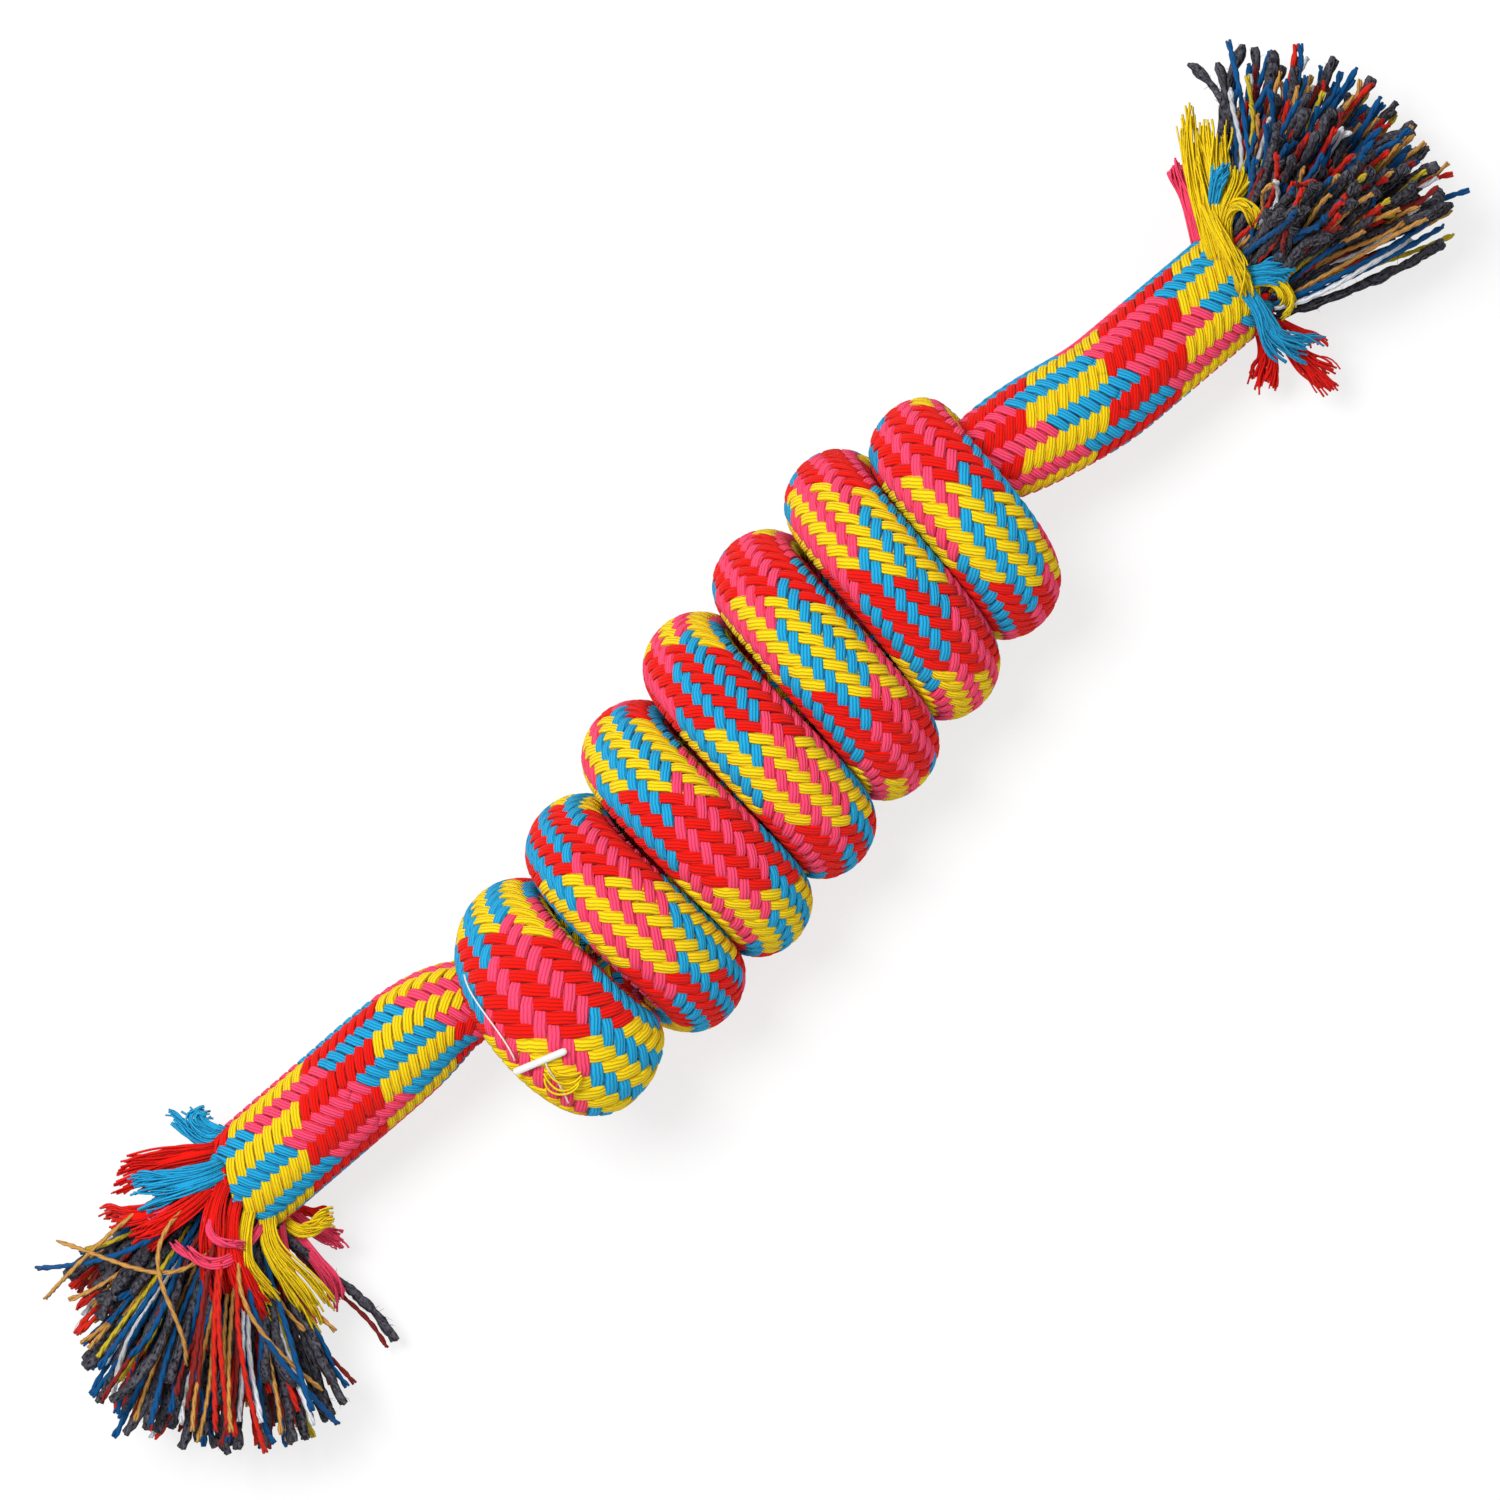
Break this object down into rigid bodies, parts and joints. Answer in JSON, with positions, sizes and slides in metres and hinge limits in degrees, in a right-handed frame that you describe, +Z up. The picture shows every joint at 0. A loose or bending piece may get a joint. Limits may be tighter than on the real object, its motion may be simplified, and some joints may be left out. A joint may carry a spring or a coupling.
{
  "type": "rope dog toy",
  "caption": "Tug toy of thick braided cotton rope tied in a long barrel knot, with two bendable tails that end in frayed brushes of core yarn.",
  "frame": {"origin": "centre of the flat underside of the wrap next to the knot's middle, on the floor", "axes": "+X along the knot towards the tail with the upright brush, +Y across it, +Z up"},
  "size_m": [0.3086, 0.0767, 0.0487],
  "materials": {
    "cotton_braid": "braided cotton strands in yellow, red, blue and pink",
    "core_yarn": "loose twisted yarns of mixed recycled cotton, mostly charcoal",
    "cotton_yellow": "soft cotton plies",
    "cotton_red": "soft cotton plies",
    "cotton_blue": "soft cotton plies",
    "cotton_pink": "soft cotton plies",
    "tag_plastic": "moulded polypropylene, slightly see-through"
  },
  "bodies": {
    "knot": {"knot_jacket": "cotton_braid", "knot_core": "core_yarn", "tag_pin": "tag_plastic"},
    "left_bend": {"left_rope_bend": "cotton_braid"},
    "left_tail": {"left_tail_jacket": "cotton_braid", "left_tail_core": "core_yarn", "left_brush": "core_yarn", "left_fray_01": "cotton_yellow", "left_fray_02": "cotton_yellow", "left_fray_03": "cotton_red", "left_fray_04": "cotton_pink", "left_fray_05": "cotton_red", "left_fray_06": "cotton_blue", "left_fray_07": "cotton_red", "left_fray_08": "cotton_blue", "left_fray_09": "cotton_pink", "left_fray_10": "cotton_yellow", "left_fray_11": "cotton_red"},
    "right_bend": {"right_rope_bend": "cotton_braid"},
    "right_tail": {"right_tail_jacket": "cotton_braid", "right_tail_core": "core_yarn", "right_brush": "core_yarn", "right_fray_01": "cotton_pink", "right_fray_02": "cotton_yellow", "right_fray_03": "cotton_blue", "right_fray_04": "cotton_yellow", "right_fray_05": "cotton_blue", "right_fray_06": "cotton_yellow", "right_fray_07": "cotton_blue", "right_fray_08": "cotton_red", "right_fray_09": "cotton_red", "right_fray_10": "cotton_pink", "right_fray_11": "cotton_red"}
  },
  "joints": [
    {"name": "left_tail_swing", "type": "hinge", "parent": "knot", "child": "left_bend", "pos_m": [-0.0777, 0.0166, 0.0205], "axis": [0, 0, 1], "range_deg": [-40, 40]},
    {"name": "left_tail_lift", "type": "hinge", "parent": "left_bend", "child": "left_tail", "pos_m": [-0.0777, 0.0166, 0.0205], "axis": [0.1779, 0.9841, 0], "range_deg": [-30, 40]},
    {"name": "right_tail_swing", "type": "hinge", "parent": "knot", "child": "right_bend", "pos_m": [0.0903, -0.0074, 0.0215], "axis": [0, 0, 1], "range_deg": [-40, 40]},
    {"name": "right_tail_lift", "type": "hinge", "parent": "right_bend", "child": "right_tail", "pos_m": [0.0903, -0.0074, 0.0215], "axis": [-0.1847, -0.9828, 0], "range_deg": [-30, 40]}
  ]
}
